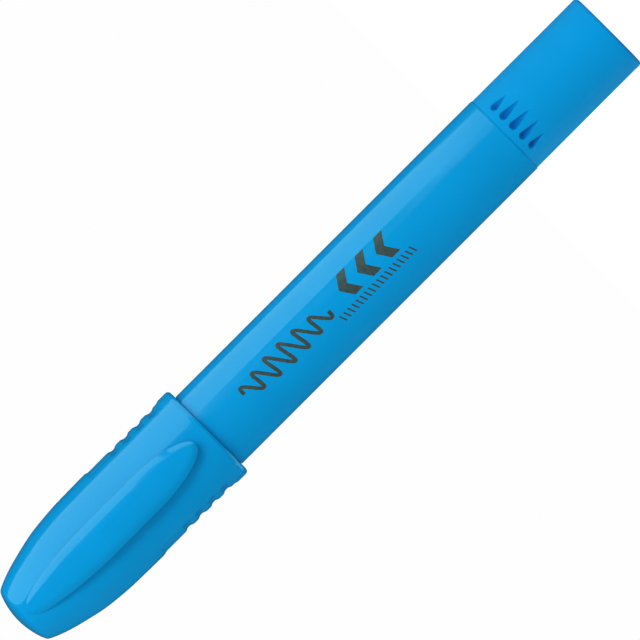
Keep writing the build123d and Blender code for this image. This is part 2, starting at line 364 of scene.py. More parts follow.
def floor_material(rgb):
    """Matt card with a faint fibre tone, lifted to white for the camera, and less so in the middle."""
    material, graph, shader, position = start_material("Studio Card")
    fibre = graph.noise(position, 60.0, 3.0)
    graph.feed(shader.inputs["Base Color"], mix(graph, fibre, shade(rgb, 0.995), shade(rgb, 1.005)))
    seen = graph.add("ShaderNodeLightPath").outputs["Is Camera Ray"]
    away = graph.add("ShaderNodeVectorMath", {0: position}, operation="LENGTH").outputs["Value"]
    lift = mix(graph, graph.step(away, *FLOOR_MIDDLE), FLOOR_LIFT_MIDDLE, (1, 1, 1, 1))
    graph.feed(shader.inputs["Emission Color"], mix(graph, seen, (0, 0, 0, 1), lift))
    shader.inputs["Emission Strength"].default_value = FLOOR_LIFT
    shader.inputs["Roughness"].default_value = 0.9
    shader.inputs["Specular IOR Level"].default_value = 0.0
    return material


def softbox_material(rgb, strength):
    """The evenly glowing cloth of a softbox, faintly uneven towards its folds."""
    material, graph, shader, position = start_material("Softbox Cloth")
    folds = graph.noise(position, 3.0, 2.0)
    graph.feed(shader.inputs["Emission Color"], mix(graph, folds, shade(rgb, 0.97), shade(rgb, 1.0)))
    shader.inputs["Emission Strength"].default_value = strength
    shader.inputs["Base Color"].default_value = (0, 0, 0, 1)
    return material


# recess_shade names the colour painted into flutes and grooves as shade.
PLASTICS = {
    "Gloss Blue": dict(
        rgb="gloss", smooth=0.08, scuffed=0.2, marks=0.4, grain=0.02, bump=0.2, recess_shade="depth",
    ),
    "Satin Blue": dict(
        rgb="satin", smooth=0.44, scuffed=0.54, marks=0.8, grain=0.35, bump=0.5, sheen=0.05, recess_shade="depth",
    ),
    "Nose Satin": dict(rgb="satin", smooth=0.30, scuffed=0.42, marks=0.6, grain=0.2, bump=0.35, sheen=0.35),
    "Liner White": dict(rgb="liner", smooth=0.34, scuffed=0.46, marks=0.5, grain=0.2, bump=0.3, scatter=0.3),
    "Natural Plastic": dict(
        rgb="natural", smooth=0.32, scuffed=0.45, marks=0.6, grain=0.15, bump=0.3, scatter=0.35,
    ),
    "Black Rubber": dict(rgb="rubber", smooth=0.55, scuffed=0.72, marks=0.9, grain=0.6, bump=0.6),
}
OTHER_FINISHES = {
    "Gel": (gel_material, "gel"),
    "Pad Print": (ink_material, "ink"),
    "Studio Card": (floor_material, "floor"),
}


def finish_material(name):
    """The named finish, built on its first use."""
    found = bpy.data.materials.get(name)
    if found:
        return found
    colours = bpy.context.scene.highlighter_colours
    if name in OTHER_FINISHES:
        builder, tint = OTHER_FINISHES[name]
        return builder(getattr(colours, tint))
    settings = PLASTICS[name].items()
    return plastic(name, **{key: getattr(colours, v) if isinstance(v, str) else v for key, v in settings})


# ---------------------------------------------------------------- mesh work


def softened(corners, steps=5, guard=0.12):
    """An outline in millimetres with its corners (radius, height, round) rounded, and a guard point beside
    each round that keeps the wall's shading flat.
    """
    points = []
    count = len(corners)
    for i, (r, z, size) in enumerate(corners):
        here = Vector((r, z))
        if not size:
            points.append(here)
            continue
        arms = []
        for other in (corners[i - 1], corners[(i + 1) % count]):
            arm = Vector(other[:2]) - here
            reach = min(size, 0.45 * arm.length)
            arms.append((here + arm.normalized() * reach, arm.normalized() * min(guard, 0.04 * arm.length)))
        (start, before), (end, after) = arms
        points.append(start + before)
        for k in range(steps + 1):
            s = k / steps
            points.append(start * (1 - s) ** 2 + here * 2 * s * (1 - s) + end * s**2)
        points.append(end + after)
    return points


def through(points, steps=6):
    """A smooth run of points through the given ones."""
    vectors = [Vector(p) for p in points]
    ends = [2 * vectors[0] - vectors[1], *vectors, 2 * vectors[-1] - vectors[-2]]
    run = []
    for a, b, c, d in zip(ends, ends[1:], ends[2:], ends[3:]):
        for k in range(steps):
            s = k / steps
            bend, twist = 2 * a - 5 * b + 4 * c - d, 3 * b - a - 3 * c + d
            run.append(0.5 * (2 * b + (c - a) * s + bend * s**2 + twist * s**3))
    return run + [vectors[-1]]


def with_rows(points, bottom, top, inner, step):
    """The outline with extra rows on its outer side between two heights, for relief that needs them."""
    rows = []
    for a, b in zip(points, points[1:] + points[:1]):
        rows.append(a)
        lowest, highest = min(a.y, b.y), max(a.y, b.y)
        if min(a.x, b.x) < inner or highest <= bottom or lowest >= top:
            continue
        count = math.ceil((highest - lowest) / step)
        extra = (a.lerp(b, k / count) for k in range(1, count))
        rows += [row for row in extra if bottom <= row.y <= top]
    return rows


def turned(name, outline, segments=192):
    """A closed turned moulding from its outline of (radius, height) in millimetres."""
    mesh = bmesh.new()
    rings = []
    for point in outline:
        r, z = max(point[0], 0.0) * MM, point[1] * MM
        if r < 1e-7:
            rings.append([mesh.verts.new((0, 0, z))] * segments)
            continue
        angles = (2 * math.pi * k / segments for k in range(segments))
        rings.append([mesh.verts.new((r * math.cos(a), r * math.sin(a), z)) for a in angles])
    for ring, after in zip(rings, rings[1:] + rings[:1]):
        for k in range(segments):
            n = (k + 1) % segments
            corners = list(dict.fromkeys((ring[k], ring[n], after[n], after[k])))
            if len(corners) > 2:
                mesh.faces.new(corners)
    return made_object(name, mesh)


def made_object(name, mesh, sharp=40.0):
    """The mesh as an object at the origin: doubles merged, faces outwards, smooth up to a sharp angle."""
    bmesh.ops.remove_doubles(mesh, verts=mesh.verts, dist=1e-7)
    bmesh.ops.recalc_face_normals(mesh, faces=mesh.faces)
    data = bpy.data.meshes.new(name)
    mesh.to_mesh(data)
    mesh.free()
    piece = bpy.data.objects.new(name, data)
    bpy.context.scene.collection.objects.link(piece)
    smooth(piece, sharp)
    return piece


def smooth(piece, sharp=40.0):
    """Smooth shading, broken at edges sharper than an angle in degrees."""
    piece.data.polygons.foreach_set("use_smooth", [True] * len(piece.data.polygons))
    piece.data.set_sharp_from_angle(angle=math.radians(sharp))


def dress(piece, finish, body, slot, *nodes):
    """Gives a piece its finish and body, and hides the frame nodes it stands for. The slot is not used."""
    piece.data.materials.clear()
    piece.data.materials.append(finish_material(finish))
    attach(piece, body)
    if nodes:
        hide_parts(*nodes)
    return piece


# ---------------------------------------------------------------- geometry nodes

GEOMETRY = "NodeSocketGeometry"
MATERIAL = "NodeSocketMaterial"


def relief_end(graph, start, end, offset, mask):
    """Stores each point's share of painted recess shade, moves the surface, and closes the tree with the
    material.
    """
    store = graph.add("GeometryNodeStoreNamedAttribute", data_type="FLOAT", domain="POINT")
    graph.feed(store.inputs["Geometry"], start["Geometry"])
    graph.feed(store.inputs["Name"], RECESS_SHADE)
    graph.feed(next(s for s in store.inputs if s.name == "Value" and s.enabled), mask)
    moved = graph.add("GeometryNodeSetPosition", {"Geometry": store.outputs["Geometry"], "Offset": offset})
    real = graph.add("GeometryNodeRealizeInstances", {"Geometry": moved.outputs["Geometry"]})
    dressed = {"Geometry": real.outputs["Geometry"], "Material": start["Material"]}
    coat = graph.add("GeometryNodeSetMaterial", dressed)
    graph.feed(end["Geometry"], coat.outputs["Geometry"])


def inward(graph, x, y, radius, depth):
    """An offset of this depth towards the axis."""
    scale = graph.math("DIVIDE", graph.math("MULTIPLY", depth, -1.0), radius)
    parts = {"X": graph.math("MULTIPLY", x, scale), "Y": graph.math("MULTIPLY", y, scale), "Z": 0.0}
    return graph.add("ShaderNodeCombineXYZ", parts).outputs[0]


def position_fields(graph):
    """The point's x, y, z and its distance from the axis."""
    place = graph.add("GeometryNodeInputPosition").outputs[0]
    parts = graph.add("ShaderNodeSeparateXYZ", {0: place}).outputs
    x, y, z = parts["X"], parts["Y"], parts["Z"]
    squares = graph.math("ADD", graph.math("MULTIPLY", x, x), graph.math("MULTIPLY", y, y))
    return x, y, z, graph.math("MAXIMUM", graph.math("SQRT", squares), 1e-6)


def flute_tree():
    """Presses groups of teardrop flutes into the front and back of a round knob, and stores painted shade for
    them.
    """
    inputs = [
        ("Geometry", GEOMETRY), ("Pitch", FLOAT), ("Outermost", FLOAT), ("Wide End", FLOAT), ("Point", FLOAT),
        ("Outer Rise", FLOAT), ("Half Width", FLOAT), ("Depth", FLOAT), ("Skin Radius", FLOAT),
        ("Material", MATERIAL),
    ]
    tree, graph, start, end = new_group("Knob Flutes", "GeometryNodeTree", inputs, [("Geometry", GEOMETRY)])
    x, y, z, radius = position_fields(graph)
    angle = graph.math("ARCTAN2", x, graph.math("ABSOLUTE", y))
    outermost = start["Outermost"]
    nearest = graph.math("ROUND", graph.math("DIVIDE", angle, start["Pitch"]))
    index = graph.held(nearest, graph.math("MULTIPLY", outermost, -1.0), outermost)
    turn = graph.math("SUBTRACT", angle, graph.math("MULTIPLY", index, start["Pitch"]))
    side = graph.math("ABSOLUTE", graph.math("MULTIPLY", turn, radius))
    short = graph.math("MAXIMUM", graph.math("SUBTRACT", graph.math("ABSOLUTE", index), 1.0), 0.0)
    point = graph.math("MULTIPLY_ADD", short, start["Outer Rise"], start["Point"])
    half = start["Half Width"]
    centre = graph.math("SUBTRACT", start["Wide End"], half)
    along = graph.math("DIVIDE", graph.math("SUBTRACT", z, point), graph.math("SUBTRACT", centre, point))
    taper = graph.math("MULTIPLY", half, graph.math("POWER", graph.held(along, 0.0, 1.0), 0.8))
    over = graph.math("MAXIMUM", graph.math("SUBTRACT", z, centre), 0.0)
    squared = graph.math("SUBTRACT", graph.math("MULTIPLY", half, half), graph.math("MULTIPLY", over, over))
    rounded = graph.math("SQRT", graph.math("MAXIMUM", squared, 0.0))
    width = graph.math("MAXIMUM", graph.math("MINIMUM", taper, rounded), 1e-6)
    share = graph.math("DIVIDE", side, width)
    bowl = graph.math("SUBTRACT", 1.0, graph.math("POWER", graph.math("MINIMUM", share, 1.0), 3.0))
    reach = graph.math("POWER", graph.math("MINIMUM", graph.math("DIVIDE", width, half), 1.0), 0.7)
    outside = graph.math("GREATER_THAN", radius, start["Skin Radius"])
    scoop = graph.product(bowl, reach, outside)
    offset = inward(graph, x, y, radius, graph.math("MULTIPLY", scoop, start["Depth"]))
    # Painted shade: the flutes are marked for the deeper blue, strongest at their deep wide ends.
    relief_end(graph, start, end, offset, graph.math("MULTIPLY", graph.math("POWER", scoop, 0.5), reach))
    return tree


def grip_tree():
    """Sinks a grip panel into each flank of the cap, repeats grooves up it, and stores painted shade for the
    grooves.
    """
    inputs = [
        ("Geometry", GEOMETRY), ("Panel Low", FLOAT), ("Panel High", FLOAT), ("Panel Reach", FLOAT),
        ("Panel Depth", FLOAT), ("First Groove", FLOAT), ("Groove Pitch", FLOAT), ("Last Groove", FLOAT),
        ("Groove Half Width", FLOAT), ("Groove Depth", FLOAT), ("Edge", FLOAT), ("Skin Radius", FLOAT),
        ("Material", MATERIAL),
    ]
    tree, graph, start, end = new_group("Grip Panels", "GeometryNodeTree", inputs, [("Geometry", GEOMETRY)])
    x, y, z, radius = position_fields(graph)
    across = graph.math("ABSOLUTE", y)
    edge = start["Edge"]
    reach = start["Panel Reach"]
    flank = graph.step(across, reach, graph.math("SUBTRACT", reach, graph.math("MULTIPLY", edge, 2.0)))
    above = graph.step(z, start["Panel Low"], graph.math("ADD", start["Panel Low"], edge))
    below = graph.step(z, start["Panel High"], graph.math("SUBTRACT", start["Panel High"], edge))
    outside = graph.math("GREATER_THAN", radius, start["Skin Radius"])
    panel = graph.product(flank, outside, above, below)
    steps = graph.math("DIVIDE", graph.math("SUBTRACT", z, start["First Groove"]), start["Groove Pitch"])
    nearest = graph.held(graph.math("ROUND", steps), 0.0, start["Last Groove"])
    off = graph.math("ABSOLUTE", graph.math("SUBTRACT", steps, nearest))
    away = graph.math("MULTIPLY", off, start["Groove Pitch"])
    half = start["Groove Half Width"]
    groove = graph.step(away, half, graph.math("MULTIPLY", half, 0.15))
    cut = graph.math("MULTIPLY", groove, panel)
    sunk = graph.math("MULTIPLY", panel, start["Panel Depth"])
    depth = graph.math("MULTIPLY_ADD", cut, start["Groove Depth"], sunk)
    # Painted shade: the grooves are marked for the deeper blue at a fifth of full strength.
    relief_end(graph, start, end, inward(graph, x, y, radius, depth), graph.math("MULTIPLY", cut, 0.2))
    return tree


def with_geometry(piece, tree, values):
    """Runs a geometry tree on a piece and keeps the result as its plain mesh."""
    modifier = piece.modifiers.new(tree.name, "NODES")
    modifier.node_group = tree
    for item in tree.interface.items_tree:
        if item.item_type == "SOCKET" and item.in_out == "INPUT" and item.name in values:
            modifier[item.identifier] = values[item.name]
    evaluated = piece.evaluated_get(bpy.context.evaluated_depsgraph_get())
    data = bpy.data.meshes.new_from_object(evaluated)
    piece.modifiers.remove(modifier)
    old = piece.data
    piece.data = data
    bpy.data.meshes.remove(old)
    smooth(piece)
    return piece


# ---------------------------------------------------------------- pieces


class HIGHLIGHTER_OT_barrel(bpy.types.Operator):
    """Build the glossy barrel tube with its bulkhead and spigot"""

    bl_idname = "highlighter.barrel"
    bl_label = "Barrel"

    def execute(self, context):
        sizes = context.scene.highlighter_sizes
        knob_gap, cap_gap = 0.03, 0.04
        r, end, start = sizes.barrel_radius / MM, sizes.barrel_end / MM, sizes.knob_top / MM + knob_gap
        seat, inner_seat = sizes.cap_rim / MM - cap_gap, high("nose_sleeve").x / MM
        outline = softened([
            (3.0, 17.8, 0.15), (6.1, 17.8, 0.3), (6.1, 20.1, 0.08), (4.7, 20.1, 0.1), (4.7, 21.9, 0.1),
            (6.1, 21.9, 0.08), (6.1, start, 0.1), (r, start, 0.03), (r, seat, 0.04), (inner_seat, seat, 0.06),
            (inner_seat, end, 0.05), (6.35, end, 0.05), (6.35, 26.8, 0.3), (3.0, 26.8, 0.15),
        ])
        dress(turned("barrel", outline), "Gloss Blue", "barrel", "barrel_gloss", "barrel_tube")
        return {"FINISHED"}


# The motif's places and sizes in millimetres: heights up the barrel, and distances round it.
CHEVRONS = [50.6 + 4.3 * k for k in range(3)]
CHEVRON_MIDDLE, CHEVRON_REACH, CHEVRON_RISE, CHEVRON_HALF = 1.05, 2.3, 1.5, 0.95
TICKS = [47.9 + 0.95 * k for k in range(18)]
TICK_START, TICK_LENGTH, TICK_RISE, TICK_HALF = -3.4, 1.45, 0.5, 0.15
STROKE_START, STROKE_LENGTH, STROKE_SWING, STROKE_LEAN, STROKE_WAVES = 84.6, 19.4, 2.1, 0.45, 6
NIB_NARROW, NIB_WIDER = 0.2, 0.14


class HIGHLIGHTER_OT_print(bpy.types.Operator):
    """Print a plain motif along the barrel: a pen stroke, three chevrons and a row of ticks"""

    bl_idname = "highlighter.print"
    bl_label = "Barrel Print"

    def execute(self, context):
        sizes = context.scene.highlighter_sizes
        mesh = bmesh.new()
        edges = [wavy_stroke(), *map(chevron, CHEVRONS), *map(tick, TICKS)]
        for left, right in edges:
            ink_ribbon(mesh, sizes.barrel_radius, sizes.ink_thickness, left, right)
        dress(made_object("barrel_print", mesh), "Pad Print", "barrel", "barrel_gloss")
        return {"FINISHED"}


def wavy_stroke():
    """Edges of a broad-nibbed wave down the barrel, leaning like a quick pen stroke and widest half way."""
    points = []
    steps = 180
    for k in range(steps + 1):
        share = k / steps
        swell = 0.55 + 0.45 * math.sin(math.pi * share)
        across = STROKE_SWING * math.sin(2 * STROKE_WAVES * math.pi * share) * swell
        points.append(Vector((across, STROKE_START - STROKE_LENGTH * share + STROKE_LEAN * across)))
    left, right = [], []
    for before, here, after in zip(points[:1] + points, points, points[1:] + points[-1:]):
        along = (after - before).normalized()
        half = NIB_NARROW + NIB_WIDER * abs(along.x)
        nib = Vector((along.y, -along.x)) * half
        left.append(here + nib)
        right.append(here - nib)
    return left, right


def both_sides(run, half):
    """Edges half a line's width above and below a run of (across, height)."""
    return tuple([Vector((across, height + side)) for across, height in run] for side in (half, -half))


def chevron(height):
    """Edges of a bold chevron pointing towards the nose."""
    shares = (k / 12 - 1 for k in range(25))
    run = [(CHEVRON_MIDDLE + CHEVRON_REACH * t, height + CHEVRON_RISE * (1 - abs(t))) for t in shares]
    return both_sides(run, CHEVRON_HALF)


def tick(height):
    """Edges of a short slanted tick beside the chevrons."""
    run = [(TICK_START + TICK_LENGTH * k / 4, height + TICK_RISE * k / 4) for k in range(5)]
    return both_sides(run, TICK_HALF)


def ink_ribbon(mesh, radius, thickness, left, right):
    """A closed strip of ink between two edges of (across, height) in millimetres, bent round the barrel."""
    columns, rows, sunk = 3, len(left) - 1, 0.01 * MM
    layers = []
    for r in (radius - sunk, radius + thickness):
        grid = []
        for a, b in zip(left, right):
            line = []
            for k in range(columns + 1):
                across, height = a.lerp(b, k / columns)
                angle = across * MM / radius
                line.append(mesh.verts.new((r * math.sin(angle), -r * math.cos(angle), height * MM)))
            grid.append(line)
        layers.append(grid)
    inner, outer = layers
    for grid in layers:
        for i in range(rows):
            for j in range(columns):
                mesh.faces.new((grid[i][j], grid[i + 1][j], grid[i + 1][j + 1], grid[i][j + 1]))
    border = [(i, 0) for i in range(rows)] + [(rows, j) for j in range(columns)]
    border += [(i, columns) for i in range(rows, 0, -1)] + [(0, j) for j in range(columns, 0, -1)]
    for (i, j), (m, n) in zip(border, border[1:] + border[:1]):
        mesh.faces.new((inner[i][j], inner[m][n], outer[m][n], outer[i][j]))


class HIGHLIGHTER_OT_nose(bpy.types.Operator):
    """Build the nose sleeve that the stick comes out through"""

    bl_idname = "highlighter.nose"
    bl_label = "Nose Sleeve"

    def execute(self, context):
        end, top, seat = high("barrel_tube").z / MM, high("nose_sleeve").z / MM, high("nose_sleeve").x / MM
        bore, bead = 4.6, 7.25
        outline = softened([
            (5.4, 86.0, 0.1), (6.35, 86.0, 0.1), (6.35, end, 0.05), (seat, end, 0.06), (seat, 99.5, 0.2),
            (7.0, 99.5, 0.12), (7.0, 102.75, 0.08), (bead, 103.0, 0.18), (7.0, 103.25, 0.08),
            (7.0, 106.0, 0.5), (5.5, 110.0, 0.5), (5.5, top, 0.4), (bore, top, 0.3), (bore, 108.0, 0.4),
            (5.4, 106.5, 0.3),
        ])
        dress(turned("nose", outline), "Nose Satin", "barrel", "nose_satin", "nose_sleeve")
        return {"FINISHED"}


class HIGHLIGHTER_OT_knob(bpy.types.Operator):
    """Build the twist knob and press its flutes with geometry nodes"""

    bl_idname = "highlighter.knob"
    bl_label = "Twist Knob"

    def execute(self, context):
        sizes = context.scene.highlighter_sizes
        r, top, skin = sizes.knob_radius / MM, sizes.knob_top / MM, 7.5
        outline = softened([
            (0, 0.12, 0), (1.1, 0.12, 0.05), (1.25, 0.0, 0.05), (r, 0, 0.55), (r, top, 0.03),
            (6.18, top, 0.1), (6.18, 17.3, 0.1), (6.0, 17.3, 0.05), (6.0, 1.8, 0.4), (4.4, 1.8, 0.3),
            (4.4, 16.5, 0.2), (0, 16.5, 0),
        ])
        rows = with_rows(outline, bottom=17.6, top=23.6, inner=skin, step=0.1)
        piece = turned("knob", rows, segments=540)
        with_geometry(piece, flute_tree(), {
            "Pitch": sizes.flute_pitch, "Outermost": (sizes.flute_count - 1) / 2, "Wide End": 22.9 * MM,
            "Point": 18.5 * MM, "Outer Rise": 1.0 * MM, "Half Width": 0.72 * MM, "Depth": sizes.flute_depth,
            "Skin Radius": skin * MM, "Material": finish_material("Satin Blue"),
        })
        dress(piece, "Satin Blue", "knob", "knob_satin", "twist_knob")
        return {"FINISHED"}


CAP_SHOULDER, CAP_CORNER, CAP_DOME = (9.36, 113.0), (5.92, 135.24), (4.6, 136.38)
CAP_NOSE = 137.2


def cap_side():
    """The cap's outer profile from shoulder to nose, in millimetres."""
    side = through([
        CAP_SHOULDER, (9.31, 116.5), (9.2, 120.3), (8.76, 125.0), (8.1, 128.3), (7.26, 131.6),
        (6.55, 133.75), CAP_CORNER,
    ])
    corner = through([CAP_CORNER, (5.46, 135.94), CAP_DOME], 4)
    radius, rise, steps = CAP_DOME[0], CAP_NOSE - CAP_DOME[1], 8
    dome = [(radius * k / steps, CAP_NOSE - rise * (k / steps) ** 2) for k in range(steps - 1, -1, -1)]
    return side[:-1] + corner + [Vector(p) for p in dome]


class HIGHLIGHTER_OT_cap(bpy.types.Operator):
    """Build the cap and sink its grip panels with geometry nodes"""

    bl_idname = "highlighter.cap"
    bl_label = "Cap"

    def execute(self, context):
        sizes = context.scene.highlighter_sizes
        rim, r, bore = sizes.cap_rim / MM, sizes.cap_radius / MM, high("nose_sleeve").x / MM + 0.08
        ceiling, skin = 133.0, 9.0
        skirt = softened([
            (0, 0, 0), (4.4, ceiling, 0), (6.4, ceiling, 1.9), (6.4, 109.5, 0.3), (7.35, 108.5, 0.3),
            (7.35, 99.9, 0.15), (bore, 99.9, 0.1), (bore, rim, 0.25), (r, rim, 0.8), (*CAP_SHOULDER, 0),
            (0, 0, 0),
        ])
        # The skirt's first and last corners only steer its rounding, and the side goes on from its end.
        outline = [Vector((0, ceiling))] + skirt[1:-2] + cap_side()
        rows = with_rows(outline, bottom=95.0, top=CAP_SHOULDER[1], inner=skin, step=0.12)
        piece = turned("cap", rows, segments=320)
        with_geometry(piece, grip_tree(), {
            "Panel Low": 95.4 * MM, "Panel High": 112.6 * MM, "Panel Reach": 5.0 * MM,
            "Panel Depth": 0.2 * MM, "First Groove": 97.7 * MM, "Groove Pitch": sizes.groove_pitch,
            "Last Groove": sizes.groove_count - 1.0, "Groove Half Width": 1.05 * MM,
            "Groove Depth": 0.28 * MM, "Edge": 0.8 * MM, "Skin Radius": skin * MM,
            "Material": finish_material("Gloss Blue"),
        })
        dress(piece, "Gloss Blue", "cap", "cap_gloss", "cap_shell")
        return {"FINISHED"}


class HIGHLIGHTER_OT_liner(bpy.types.Operator):
    """Build the cap's inner sealing cup"""

    bl_idname = "highlighter.liner"
    bl_label = "Cap Liner"

    def execute(self, context):
        start, top = low("cap_liner").z / MM, high("cap_liner").z / MM
        outline = softened([
            (0, top - 0.8, 0), (5.1, top - 0.8, 1.1), (5.1, 113.9, 0.15), (5.55, 113.9, 0.1),
            (5.55, start, 0.25), (6.4, start, 0.2), (6.4, top, 2.0), (0, top, 0),
        ])
        dress(turned("liner", outline, segments=128), "Liner White", "cap", "liner_white", "cap_liner")
        return {"FINISHED"}


class HIGHLIGHTER_OT_clip(bpy.types.Operator):
    """Build the leaf clip, whose root bends out of the cap"""

    bl_idname = "highlighter.clip"
    bl_label = "Pocket Clip"

    def execute(self, context):
        piece = leaf_object(context.scene.highlighter_sizes)
        piece.data.materials.append(finish_material("Gloss Blue"))
        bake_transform(piece)
        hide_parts("pocket_clip")
        return {"FINISHED"}


# The leaf in millimetres: (radius, height) along its crest, and the middle and reach of its two rounded ends.
LEAF_CREST = [
    (11.4, 95.4), (11.72, 104.0), (11.68, 114.0), (10.93, 122.5), (9.38, 129.0), (7.28, 133.6), (5.0, 136.2),
]
LEAF_LOW_END, LEAF_HIGH_END = (108.0, 12.05), (117.0, 19.15)
LEAF_CROWN, LEAF_SUNK = 0.3, 0.9
LEAF_ROOT_START, LEAF_ROOT_LENGTH = 124.0, 5.0
TOP_EDGE, UNDER_EDGE = (1.3, 0.52), (0.3, 0.2)


def at_height(run, z):
    """Radius of a smooth run of points at a height."""
    for a, b in zip(run, run[1:]):
        if a.y <= z <= b.y:
            return a.x + (b.x - a.x) * (z - a.y) / max(b.y - a.y, 1e-9)
    return run[0].x if z < run[0].y else run[-1].x


def leaf_plan(widest, turn, share):
    """A point of the leaf's plan, a share of the way from middle to outline, and its distance inside that."""
    c, s = math.cos(turn), math.sin(turn)
    centre, reach = LEAF_HIGH_END if s > 0 else LEAF_LOW_END
    x, along = widest * c * share, reach * s * share
    slope = math.hypot(x / widest**2, along / reach**2)
    inside = (1 - share) * share / slope if slope > 1e-9 else widest
    return x, centre + along, min(inside, widest)


def rounded_drop(inside, across, deep):
    """How far a rounded edge has fallen at a distance inside the outline."""
    near = max(1.0 - inside / across, 0.0)
    return deep * near * near


def leaf_object(sizes):
    """The leaf: a gently crowned band with round edges, whose underside sinks into the cap at its root."""
    widest, thickness = sizes.leaf_half_width / MM, sizes.leaf_thickness / MM
    crest, cap = through(LEAF_CREST), [Vector((9.38, 93.0)), *cap_side()]
    turns = [2 * math.pi * k / 300 for k in range(300)]
    # Rings from the leaf's middle to its outline, closest together where the edge rounds over.
    shares = [0.2, 0.4, 0.55, 0.66, 0.74, 0.8, 0.85, 0.89, 0.92, 0.945, 0.965, 0.98, 0.99, 0.996, 1.0]
    mesh = bmesh.new()

    def spot(turn, share, upper):
        """A point of the leaf's upper or under side."""
        x, z, inside = leaf_plan(widest, turn, share)
        if upper:
            r = at_height(crest, z) - LEAF_CROWN * (x / widest) ** 2 - rounded_drop(inside, *TOP_EDGE)
        else:
            rooted = min(max((z - LEAF_ROOT_START) / LEAF_ROOT_LENGTH, 0.0), 1.0)
            rooted = rooted * rooted * (3 - 2 * rooted)
            clear = at_height(crest, z) - thickness + rounded_drop(inside, *UNDER_EDGE)
            r = clear * (1 - rooted) + (at_height(cap, z) - LEAF_SUNK) * rooted
        return mesh.verts.new((x * MM, -math.sqrt(max(r * r - x * x, 0.01)) * MM, z * MM))

    columns = []
    for turn in turns:
        upper = [spot(turn, share, True) for share in shares]
        lower = [spot(turn, share, False) for share in reversed(shares)]
        columns.append(upper + lower)
    for column, after in zip(columns, columns[1:] + columns[:1]):
        for k in range(len(column) - 1):
            mesh.faces.new((column[k], after[k], after[k + 1], column[k + 1]))
    mesh.faces.new([column[0] for column in columns])
    mesh.faces.new([column[-1] for column in columns])
    return made_object("clip_leaf", mesh, 60)


class HIGHLIGHTER_OT_stick(bpy.types.Operator):
    """Build the gel stick with its domed tip"""

    bl_idname = "highlighter.stick"
    bl_label = "Gel Stick"

    def execute(self, context):
        bottom, tip, r = low("gel_stick").z / MM, high("gel_stick").z / MM, high("gel_stick").x / MM
        rise = 2.7
        angles = (math.pi * k / 32 for k in range(17))
        dome = [Vector((r * math.cos(a), tip - rise + rise * math.sin(a))) for a in angles]
        dome[-1].x = 0.0
        shaft = [Vector((0, bottom)), Vector((r - 0.1, bottom)), Vector((r, bottom + 0.1))]
        rows = with_rows(shaft + dome, bottom + 1, tip - rise, inner=r - 0.01, step=1.0)
        dress(turned("gel", rows, segments=128), "Gel", "stick", "gel", "gel_stick")
        return {"FINISHED"}


class HIGHLIGHTER_OT_drive(bpy.types.Operator):
    """Finish the inner screw, pusher and friction ring"""

    bl_idname = "highlighter.drive"
    bl_label = "Inner Drive"

    def execute(self, context):
        natural, rubber = "Natural Plastic", "Black Rubber"
        for node, finish in (("lead_screw", natural), ("pusher", natural), ("friction_ring", rubber)):
            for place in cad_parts[node].material_slots:
                place.material = finish_material(finish)
        return {"FINISHED"}


# ---------------------------------------------------------------- stage


# Softbox outlines as (azimuth, height) round the axis, in degrees and metres, and which way each one faces.
SOFTBOX_SIDE = [
    (32, 0.0166), (106, 0.0166), (106, 0.0251), (117, 0.0352), (117, 0.0927), (109, 0.1043),
    (109, 1.0), (36, 1.0), (36, 0.1043), (50, 0.0927), (50, 0.0352), (32, 0.0251),
]
SOFTBOX_LOW = [(50, -1.0), (117, -1.0), (117, -0.02), (50, -0.02)]
SOFTBOX_BACK = [(173, 0.002), (187, 0.002), (187, 0.13), (173, 0.13)]
SOFTBOX_REAR = [(222, -1.0), (262, -1.0), (262, -0.03), (222, -0.03)]
SIDE_FACING, REAR_FACING, BACK_FACING = 84, 242, 180
SIDE_STRENGTH, REAR_STRENGTH = 2.35, 1.8
BACKDROP, AMBIENT, MIRRORED = 0.99, 0.655, 0.02
LIGHT_AIM = 0.068
FLOOR_RADIUS = 3.0
VIEW_SIDE, CAMERA_DISTANCE = 105.2 * MM, 4.0
AIM_OFFSET = (-0.1 * MM, 0, -1.4 * MM)


def softbox(name, corners, facing, strength, distance=0.6):
    """A flat softbox for reflections alone, seen from the axis within its corners of (azimuth, height)."""
    centre = math.radians(facing)
    outward = Vector((math.sin(centre), -math.cos(centre), 0))
    sideways = Vector((math.cos(centre), math.sin(centre), 0))
    mesh = bmesh.new()
    points = []
    for azimuth, height in corners:
        across = distance * math.tan(math.radians(azimuth) - centre)
        points.append(mesh.verts.new(outward * distance + sideways * across + Vector((0, 0, height))))
    mesh.faces.new(points)
    card = made_object(name, mesh)
    tint = bpy.context.scene.highlighter_colours.softbox
    card.data.materials.append(softbox_material(tint, strength))
    card.visible_camera = card.visible_diffuse = card.visible_shadow = False


def fill_light(name, azimuth, height, distance, width, tall, power):
    """A wide soft light for diffuse light alone, facing the highlighter's middle."""
    data = bpy.data.lights.new(name, "AREA")
    data.shape = "RECTANGLE"
    data.size, data.size_y, data.energy = width, tall, power
    lamp = bpy.data.objects.new(name, data)
    turn = math.radians(azimuth)
    lamp.location = (distance * math.sin(turn), -distance * math.cos(turn), height)
    aim = Vector((0, 0, LIGHT_AIM)) - lamp.location
    lamp.rotation_euler = aim.to_track_quat("-Z", "Y").to_euler()
    lamp.visible_glossy = False
    bpy.context.scene.collection.objects.link(lamp)


def build_world(backdrop, ambient, mirrored):
    """White to the camera, an even grey as diffuse light, and nearly dark in reflections."""
    world = bpy.data.worlds.new("Studio")
    world.use_nodes = True
    graph = Graph(world.node_tree)
    shader = world.node_tree.nodes["Background"]
    ray = graph.add("ShaderNodeLightPath").outputs
    level = graph.math("MULTIPLY_ADD", ray["Is Camera Ray"], backdrop - ambient, ambient)
    level = graph.math("MULTIPLY_ADD", ray["Is Glossy Ray"], mirrored - ambient, level)
    graph.feed(shader.inputs["Strength"], level)
    shader.inputs["Color"].default_value = (1, 1, 1, 1)
    bpy.context.scene.world = world


